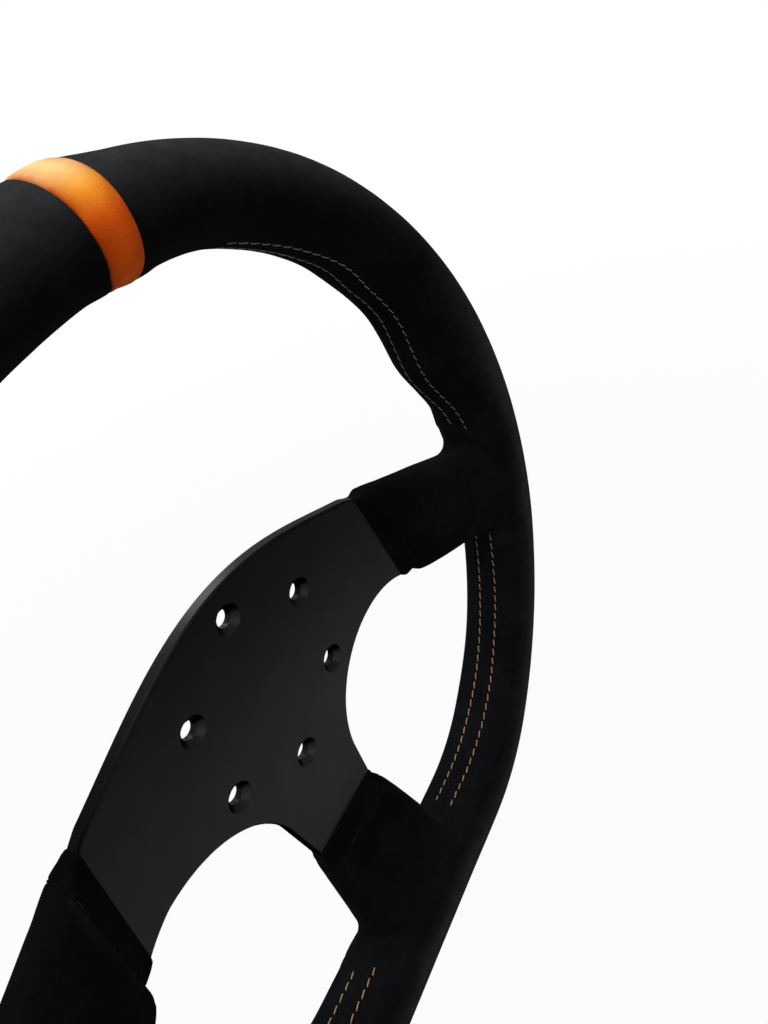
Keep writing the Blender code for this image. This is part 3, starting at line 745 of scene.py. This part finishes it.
# The band's last two colours are painted highlights, lighter and yellower towards the rim's top.
orange_suede = surface("orange_suede", {"Specular IOR Level": 0.05, "Sheen Weight": 0.08, "Sheen Roughness": 0.4,
                                        "Sheen Tint": (1.0, 0.75, 0.4, 1)},
                       suede_paint((0.76, 0.090, 0.005, 1), (0.95, 0.14, 0.007, 1), (0.95, 0.22, 0.02, 1),
                                   (0.45, 0.050, 0.004, 1),
                                   ((58, 100, (0.97, 0.41, 0.028, 1)), (34, 74, (0.97, 0.63, 0.26, 1)))))
keep("contrast_band", panel("contrast_band", 360 + band_edges[0], 360 + band_edges[1], (True, True), None, 0.0006), orange_suede,
     "centre_band")

# Spoke sleeves. Each is a piece of suede sewn into a padded sleeve over an arm. Its hem grips the plate, a
# stitched step rises to the padding, and its outer end spreads over the rim, where its edge is glued down.

lip = 0.0012
side_lip = 0.00035
crease = 0.0064
crest_rise = 0.0054
crest_back = 0.0034
front_end = 0.0305
back_end = 0.008
crown = 0.0007


def rim_depth(points):
    """Below 0 inside the rim and above 0 outside it, with the section angle of each flat-drawn point."""
    x, y, z = np.moveaxis(points, -1, 0)
    clock = np.degrees(np.arctan2(x, y)) % 360
    centre, out = rim_line(clock)
    radial = ((points[..., :2] - centre) * out).sum(-1)
    swelled = swell_at(clock)
    c = np.where(radial < 0, radial / (rim_half_width + swell_in * swelled), radial / rim_half_width)
    s = (z - rim_plane - swell_back * swelled * np.minimum(c, 0)) / rim_half_depth
    return c * c + s * s - 1, clock, np.degrees(np.arctan2(s, c)) % 360


def normals_of(grid):
    """Outward directions on a grid of rings that close round an arm."""
    down = np.gradient(grid, axis=0)
    round_about = np.roll(grid, -1, axis=1) - np.roll(grid, 1, axis=1)
    cross = np.cross(round_about, down)
    return cross / np.maximum(np.linalg.norm(cross, axis=-1, keepdims=True), 1e-12)


def sleeve_rings(arm, sides, fillet, draft):
    """Rings of the sleeve's skin from its hem to its glued edge, and the row number of its stitched crease."""
    length = arm.reach - ring_width / 2 - arm.crest

    def padded_ring(f):
        past = math.exp(-max(f * length, 0) / 0.0035)
        upper, lower = (full + (rim - full) * f + (crest - full) * past for crest, full, rim in sides)
        back = -crest_back + f * (back_end + crest_back) + 0.0006 * past
        front = plate_thickness + crest_rise + f * (front_end - plate_thickness - crest_rise) - 0.0006 * past
        corner = min(max(0.0042 + f * 0.021, 0.003), 0.46 * (front - back))
        lean = arm.skew * (1 - f)
        along = arm.crest + f * length
        ring = rounded_ring(arm.at(along - lean, upper), arm.at(along + lean, -lower), back, front, corner, crown)
        across = ring[:, :2] @ np.array(arm.across) - arm.offset
        drawn = draft * f * np.clip(-across / lower, 0, 1) * (ring[:, 2] - back) / (front - back)
        ring[:, :2] += drawn[:, None] * np.array(arm.across)
        return ring

    hem_places = np.array((0.0, 0.0003, 0.0007, 0.0012, 0.0018, 0.0024, 0.003, 0.0036, 0.0042, 0.0048, 0.0053, 0.0057,
                           0.006, 0.0062, crease, 0.0066, 0.0069, 0.0073, 0.0079, 0.0088))
    hem_rows = []
    for d in hem_places:
        bead = 0.00006 * math.exp(-((d - 0.0008) / 0.0007) ** 2) - (0.0003 if d == 0 else 0)
        wide, wall = side_lip * min(d / 0.002, 1), lip + bead
        flat = rounded_ring(*arm.hem_ends(d, wide), -wall, plate_thickness + wall, 0.0017, 0)
        t = min(max((d - 0.0017) / 0.0042, 0), 1)
        rise = t * t * (3 - 2 * t)
        hem_rows.append(flat * (1 - rise) + padded_ring((d - crease) / length) * rise)
    hem_rows = np.stack(hem_rows)
    drawn_in = 0.00035 * np.exp(-((hem_places - crease) / 0.00055) ** 2)
    hem_rows -= normals_of(hem_rows) * drawn_in[:, None, None]
    begin = (hem_places[-1] - crease) / length
    fs = np.linspace(0, 1.12, 337)
    lines = np.stack([padded_ring(f) for f in fs])
    inside = rim_depth(lines)[0] < 0
    meets = np.argmax(inside, axis=0)
    columns = np.arange(lines.shape[1])
    corner_points = lines[meets, columns]
    facing = normals_of(lines)[meets, columns]
    round_it = np.degrees(np.arctan2(facing[:, 2], facing[:, :2] @ np.array(arm.across)))
    reach = np.interp(round_it, np.arange(0, 360, 45), fillet, period=360) / 1000
    for _ in range(6):
        reach = (np.roll(reach, 1) + reach * 2 + np.roll(reach, -1)) / 4
    speed = np.linalg.norm(lines[-1] - lines[0], axis=-1) / (fs[-1] - fs[0])
    leave = np.maximum(fs[meets] - reach / speed, begin + 0.05)
    padded_rows = []
    for t in np.linspace(0, 1, 23)[1:]:
        where = np.interp(begin + t * (leave - begin), fs, np.arange(len(fs)))
        low = np.minimum(where.astype(int), len(fs) - 2)
        part = (where - low)[:, None]
        padded_rows.append(lines[low, columns] * (1 - part) + lines[low + 1, columns] * part)
    _, clock, section = rim_depth(corner_points)
    step = 0.01
    spread = (rim_skin(clock + step, section) - rim_skin(clock - step, section)) / 2 / step
    wrap = (rim_skin(clock, section + step) - rim_skin(clock, section - step)) / 2 / step
    u, v = (facing * spread).sum(-1) / (spread ** 2).sum(-1), (facing * wrap).sum(-1) / (wrap ** 2).sum(-1)
    size = np.linalg.norm(u[:, None] * spread + v[:, None] * wrap, axis=-1)
    du, dv = u / size * reach, v / size * reach
    for _ in range(4):
        du = (np.roll(du, 1) + du * 2 + np.roll(du, -1)) / 4
        dv = (np.roll(dv, 1) + dv * 2 + np.roll(dv, -1)) / 4
    landed = rim_skin(clock + du, section + dv, 0.0005)
    fillet_rows = []
    for t in np.linspace(0, 1, 13)[1:]:
        fillet_rows.append((1 - t) ** 2 * padded_rows[-1] + 2 * t * (1 - t) * corner_points + t * t * landed)
    edge_rows = [rim_skin(clock + du * (1 + more), section + dv * (1 + more), high)
                 for more, high in ((0.2, 0.00045), (0.45, 0.00032), (0.7, 0.0001), (0.9, -0.0003))]
    rows = np.concatenate([hem_rows, np.stack(padded_rows + fillet_rows + edge_rows)])
    return rows, int(np.argmin(np.abs(hem_places - crease)))


def sleeve(name, arm, sides, fillet, draft, rub_and_light, wrap, node, flip=False):
    """The sleeve's skin, closed by an inner face, with the stretch of rim suede that it is glued to."""
    rings, sewn = sleeve_rings(arm, sides, fillet, draft)
    out = normals_of(rings)
    rows, count = rings.shape[:2]
    fade = np.clip((np.arange(rows) - sewn - 3) / 6, 0, 1) * np.clip((rows - 4 - np.arange(rows)) / 5, 0, 1)
    x, y, z = np.moveaxis(rings, -1, 0)
    sag = (np.sin(x / 0.0061 + y / 0.0094 + 0.7) * 0.5 + np.sin(y / 0.0052 - x / 0.0123 + z / 0.004 + 2.1) * 0.4
           + np.sin(x / 0.0033 + z / 0.0071 + 4.0) * 0.25)
    outer = rings + out * (fade[:, None] * sag * 0.00016)[..., None]
    thick = np.interp(np.arange(rows), [0, rows - 18, rows - 1], [suede, suede * 0.9, 0.0002])
    picked = list(range(rows - 2, 1, -3)) + [0]
    inner = (rings - out * thick[:, None, None])[picked]
    turned = rings[0] - out[2] * suede * 0.6 - np.array((*arm.facing, 0)) * 0.00035
    points = np.concatenate([outer, inner, turned[None]])
    steps = np.cumsum(np.linalg.norm(np.diff(points, axis=0, prepend=points[:1]), axis=-1), axis=0)
    around = np.linspace(0, 0.11, count)
    ridge = np.exp(-((np.arange(len(points)) - sewn - 3) / 2.0) ** 2)[:, None]
    edge = np.clip((np.arange(len(points)) - rows + 17) / 16, 0, 1)[:, None]
    _, at_clock, at_section = rim_depth(points)
    # The nap is a little lighter from the hem out along the sleeve. Its glued edge takes the rim's wear and painted
    # light, and the ridge past the crease is lighter with wear.
    wear_and_light = (1 - edge) * (0.03 + 0.1 * np.clip((steps - 0.012) / 0.036, 0, 1)) + edge * nap_wear_and_light(at_clock, at_section)
    wear_and_light = np.maximum(wear_and_light, rub_and_light * ridge * np.clip(normals_of(points)[..., 2] * 2 - 1, 0, 1))
    lay = np.stack(np.broadcast_arrays(around, steps, wear_and_light), -1)
    faces = grid_faces(len(points), count, loop_rows=True)

    first, last = wrap
    runs = np.linspace(run_at(first), run_at(last), int((run_at(last) - run_at(first)) / 0.0014) + 1)
    turns = outer_turns[3:-3]
    clock = clock_at(runs)[:, None]
    under = rim_skin(clock, sewn_turn(clock, turns[None, :]), pull(runs[:, None], turns[None, :]))
    base = rim_skin(clock, sewn_turn(clock, inner_turns[None, :]), -suede)
    shell = np.concatenate([under, base], axis=1)
    many = shell.shape[1]
    begin = points.shape[0] * count
    more = grid_faces(len(runs), many) + begin
    caps = [np.arange(many)[::-1] + begin, np.arange(many) + (len(runs) - 1) * many + begin]
    angles = np.radians(np.concatenate([turns, inner_turns])) * 0.016
    # The rim stretch under the sleeve takes the rim's wear and painted light too.
    shell_lay = np.stack(np.broadcast_arrays(runs[:, None], angles[None, :], nap_wear_and_light(clock, np.degrees(angles / 0.016))), -1)
    points = np.concatenate([points.reshape(-1, 3), shell.reshape(-1, 3)])
    lay = np.concatenate([lay.reshape(-1, 3), shell_lay.reshape(-1, 3)])
    mirror = np.array((-1.0, 1.0, 1.0)) if flip else np.ones(3)
    made = mesh_of(name, points * mirror, np.concatenate([faces, more]), caps, lay)
    piece = keep(name, made, black_suede, node)
    return outer[sewn] * mirror, out[sewn] * mirror


# Each sleeve's arm; the half widths of its upper and lower sides in the crease, past it and at the rim; how far
# its edge spreads on the rim, in mm, going round from its upper side over the front; how much its front is drawn in;
# how far the ridge past its crease is rubbed.
sleeves = {
    "right": (right_arm, ((0.0243, 0.0248, 0.0232), (0.0193, 0.0238, 0.0171)),
              (8.5, 5.5, 3.5, 1.8, 1.4, 5.0, 8.0, 18.5), 0.0, 0.08),
    "left": (left_arm, ((0.0236, 0.0244, 0.0253), (0.0207, 0.0297, 0.0277)),
             (8.5, 5.5, 3.5, 3.5, 3.0, 5.0, 8.0, 16.5), 0.0, 0.4),
    "bottom": (foot_arm, ((0.0234, 0.0246, 0.0330), (0.0184, 0.0195, 0.0267)),
               (2.0, 4.5, 3.5, 3.2, 5.0, 11.0, 11.0, 6.0), 0.0030, 0.12)}
creases = {}
for tag, (arm, sides, fillet, draft, rub_and_light) in sleeves.items():
    creases[tag] = sleeve(f"sleeve_{tag}", arm, sides, fillet, draft, rub_and_light, foot_wrap if tag == "bottom" else side_wrap,
                          f"spoke_sleeve_{tag}", tag == "left")

# Rim stitching. A row of orange waxed thread runs down each side of the seam, through the suede into the
# foam's skin, with each stitch lying in the channel and dipping into the needle holes at its ends.

thread_radius = 0.00025


def stitches(name, spots, radius, slant, look, node):
    """Separate stitches between needle holes. spots(k) gives points and directions at hole numbers."""
    holes_count, ends = spots
    t = np.linspace(0, 1, 11)
    sides = np.linspace(0, 2 * math.pi, 9)[:-1]
    numbers = np.arange(holes_count - 1)[:, None] + 0.10 + 0.80 * t[None, :]
    path, up = ends(numbers)
    tangent = np.gradient(path, axis=1)
    tangent /= np.linalg.norm(tangent, axis=-1, keepdims=True)
    across = np.cross(up, tangent)
    across /= np.linalg.norm(across, axis=-1, keepdims=True)
    dive = np.abs(2 * t - 1) ** 5
    uneven = np.sin(np.arange(holes_count - 1) * 2.39)[:, None]
    high = radius * (0.75 - 2.3 * dive) + 0.00004 * uneven
    path = path + up * high[..., None] + across * (slant * (2 * t - 1) + 0.00005 * uneven)[..., None]
    thin = radius * (1 - 0.35 * dive)
    ring = (across[:, :, None, :] * np.cos(sides)[:, None] + up[:, :, None, :] * np.sin(sides)[:, None])
    points = path[:, :, None, :] + ring * thin[None, :, None, None]
    one = grid_faces(len(t), len(sides))
    block = len(t) * len(sides)
    faces = (one[None] + (np.arange(holes_count - 1) * block)[:, None, None]).reshape(-1, 4)
    caps = []
    for k in range(holes_count - 1):
        caps.append(np.arange(len(sides))[::-1] + k * block)
        caps.append(np.arange(len(sides)) + (k + 1) * block - len(sides))
    lay = np.broadcast_arrays((t * pitch)[None, :, None], sides[None, None, :], numbers[:, :1, None])
    made = mesh_of(name, points.reshape(-1, 3), faces, caps, np.stack(lay, -1).reshape(-1, 3))
    return keep(name, made, look, node)


def thread_paint(dark, light, wear_and_light, rub_and_glint_levels, rub_and_glint_share, upper_shade_share):
    """Two plies twisted together, with painted shade in the groove between them. Some stitches, picked at random, are
    lighter for wear and for painted highlights, and those high on the rim take painted shade.
    """
    def paint(w):
        lay = w.node("Attribute", {"attribute_name": "lay"}, output="Vector")
        along = w.node("SeparateXYZ", {}, {0: lay}, "X")
        round_it = w.node("SeparateXYZ", {}, {0: lay}, "Y")
        ply = w.math("SINE", round_it * 2.0 + along * 5200.0) * 0.5 + 0.5
        fuzz = w.noise(0.0003, detail=3.0)
        rub_and_light = w.noise(0.011, detail=1.0).ease(*rub_and_glint_levels)
        # Painted shade: stitches on the upper part of the rim, where the rows face in and down, are blended towards the
        # greyer, darker tone.
        hands_and_light = w.node("SeparateXYZ", {}, {0: w.place()}, "Z").ease(-0.135, -0.03)
        # Painted shade: the colour is darker in the groove between the two plies.
        colour = (ply * 0.7 + fuzz * 0.3).ease(0.1, 0.7).blend(dark, light)
        return {"Base Color": (rub_and_light * rub_and_glint_share + hands_and_light * upper_shade_share).blend(colour, wear_and_light), "Roughness": fuzz * 0.2 + 0.55,
                "Normal": w.raised(ply * 0.8 + fuzz * 0.2, 0.00012)}
    return paint


# Its last colour is greyer and darker: painted shade for the stitches high on the rim, with a little random wear.
orange_thread = surface("orange_thread", {"Specular IOR Level": 0.35, "Sheen Weight": 0.1},
                        thread_paint((0.32, 0.125, 0.03, 1), (0.69, 0.41, 0.185, 1), (0.155, 0.138, 0.13, 1),
                                     (0.4, 0.68), 0.08, 0.92))


def rim_row(tag, turn):
    holes_run = seam_holes[tag]

    def ends(numbers):
        clock = clock_at(np.interp(numbers, np.arange(len(holes_run)), holes_run))
        section = sewn_turn(clock, turn)
        low, high = rim_skin(clock, section, -0.00026), rim_skin(clock, section, 0.0008)
        up = high - low
        return low, up / np.linalg.norm(up, axis=-1, keepdims=True)
    return len(holes_run), ends


for tag in stretches:
    for row, turn in (("front", 180 - row_turn), ("rear", 180 + row_turn)):
        stitches(f"rim_stitches_{row}_{tag}", rim_row(tag, turn), thread_radius * (0.8 if "upper" in tag else 1.0),
                 0.00034, orange_thread, f"stitch_{row}_{tag}")

# Hem stitching. One row of black thread goes round each sleeve in the crease between hem and padding, and
# draws the suede down tight on the plate.

# Painted highlight: stitches picked at random are made lighter, where stitches in the crease catch the light.
black_thread = surface("black_thread", {"Specular IOR Level": 0.02},
                       thread_paint((0.0015, 0.0015, 0.0016, 1), (0.0045, 0.0045, 0.005, 1), (0.020, 0.020, 0.020, 1),
                                    (0.5, 0.62), 0.9, 0.0))


def hem_row(points, up):
    closed, ups = np.concatenate([points, points[:1]]), np.concatenate([up, up[:1]])
    steps = np.concatenate([[0], np.cumsum(np.linalg.norm(np.diff(closed, axis=0), axis=1))])
    count = int(round(steps[-1] / 0.0048)) + 1

    def ends(numbers):
        run = numbers / (count - 1) * steps[-1]
        found = [np.stack([np.interp(run, steps, given[:, k]) for k in range(3)], -1) for given in (closed, ups)]
        return found[0], found[1] / np.linalg.norm(found[1], axis=-1, keepdims=True)
    return count, ends


for tag, (points, up) in creases.items():
    stitches(f"hem_stitches_{tag}", hem_row(points, up), 0.00025, 0.0, black_thread,
             f"hem_stitch_{tag}")

# Floor, light and camera. A white studio table that the wheel stands on, a large soft lamp overhead, a weaker
# one from the front, a window behind, and the camera close to the left of the driver's head.

floor_mesh = bpy.data.meshes.new("studio_floor")
floor_mesh.from_pydata([(-8, -8, 0), (8, -8, 0), (8, 8, 0), (-8, 8, 0)], [], [(0, 1, 2, 3)])
floor = bpy.data.objects.new("studio_floor", floor_mesh)
floor.location.z = cad_box[0][2] - 0.0006
bpy.context.scene.collection.objects.link(floor)


def seen_straight(tree):
    """1 for rays from the camera, a mirror or through glass, and 0 for light on the object."""
    w = Wire(tree)
    seen = [w.node("LightPath", output=name) for name in ("Is Camera Ray", "Is Glossy Ray", "Is Transmission Ray")]
    return w.math("MAXIMUM", seen[0], w.math("MAXIMUM", seen[1], seen[2]))


paper = bpy.data.materials.new("white_table")
paper.use_nodes = True
tree = paper.node_tree
sheet = tree.nodes["Principled BSDF"]
sheet.inputs["Base Color"].default_value = (0.3, 0.3, 0.3, 1)
sheet.inputs["Roughness"].default_value = 0.9
sheet.inputs["Specular IOR Level"].default_value = 0.1
glow = Wire(tree).node("Emission", {}, {"Color": (1, 1, 1, 1), "Strength": 1.0})
away = Wire(tree).node("VectorMath", {"operation": "LENGTH"}, {0: Wire(tree).place()}, "Value").ease(0.25, 0.9)
mixed = Wire(tree).node("MixShader", {}, {0: seen_straight(tree) * (away * 0.04 + 0.96),
                                          1: Wire(tree, sheet.outputs[0]), 2: glow})
tree.links.new(mixed.socket, tree.nodes["Material Output"].inputs["Surface"])
floor_mesh.materials.append(paper)

world = bpy.data.worlds.new("studio")
bpy.context.scene.world = world
world.use_nodes = True
tree = world.node_tree
straight = seen_straight(tree)
room = tree.nodes["Background"]
room.inputs["Color"].default_value = (1, 1, 1, 1)
tree.links.new((straight * 0.72 + 0.28).socket, room.inputs["Strength"])


def soft_lamp(name, place, target, size, watts, colour=(1, 1, 1)):
    lamp = bpy.data.lights.new(name, "AREA")
    lamp.shape = "RECTANGLE"
    lamp.size, lamp.size_y = size
    lamp.energy = watts
    lamp.color = colour
    made = bpy.data.objects.new(name, lamp)
    made.location = place
    made.rotation_euler = (Vector(target) - Vector(place)).to_track_quat("-Z", "Y").to_euler()
    bpy.context.scene.collection.objects.link(made)


soft_lamp("overhead", (-0.25, -0.05, 1.1), (0, 0, 0), (0.9, 0.7), 11.5)
soft_lamp("front_fill", (-0.5, -1.1, 0.5), (0, 0, 0), (0.8, 0.8), 2.4)
soft_lamp("window", (0.48, 0.86, 0.70), (0, 0, 0), (0.35, 0.35), 4.0, (0.9, 0.96, 1))

view = bpy.data.cameras.new("photo_camera")
view.lens = 26.697
view.sensor_width = 36
view.clip_start = 0.01
camera = bpy.data.objects.new("photo_camera", view)
forward, up = Vector((0.6244, 0.5406, -0.5637)), Vector((0.6323, 0.0739, 0.7712))
right = forward.cross(up).normalized()
up = right.cross(forward.normalized())
camera.matrix_world = Matrix.Translation((-0.10507, -0.17219, 0.18100)) @ Matrix(
    (right, up, -forward.normalized())).transposed().to_4x4()
bpy.context.scene.collection.objects.link(camera)
bpy.context.scene.camera = camera
bpy.context.scene.view_settings.view_transform = "Standard"
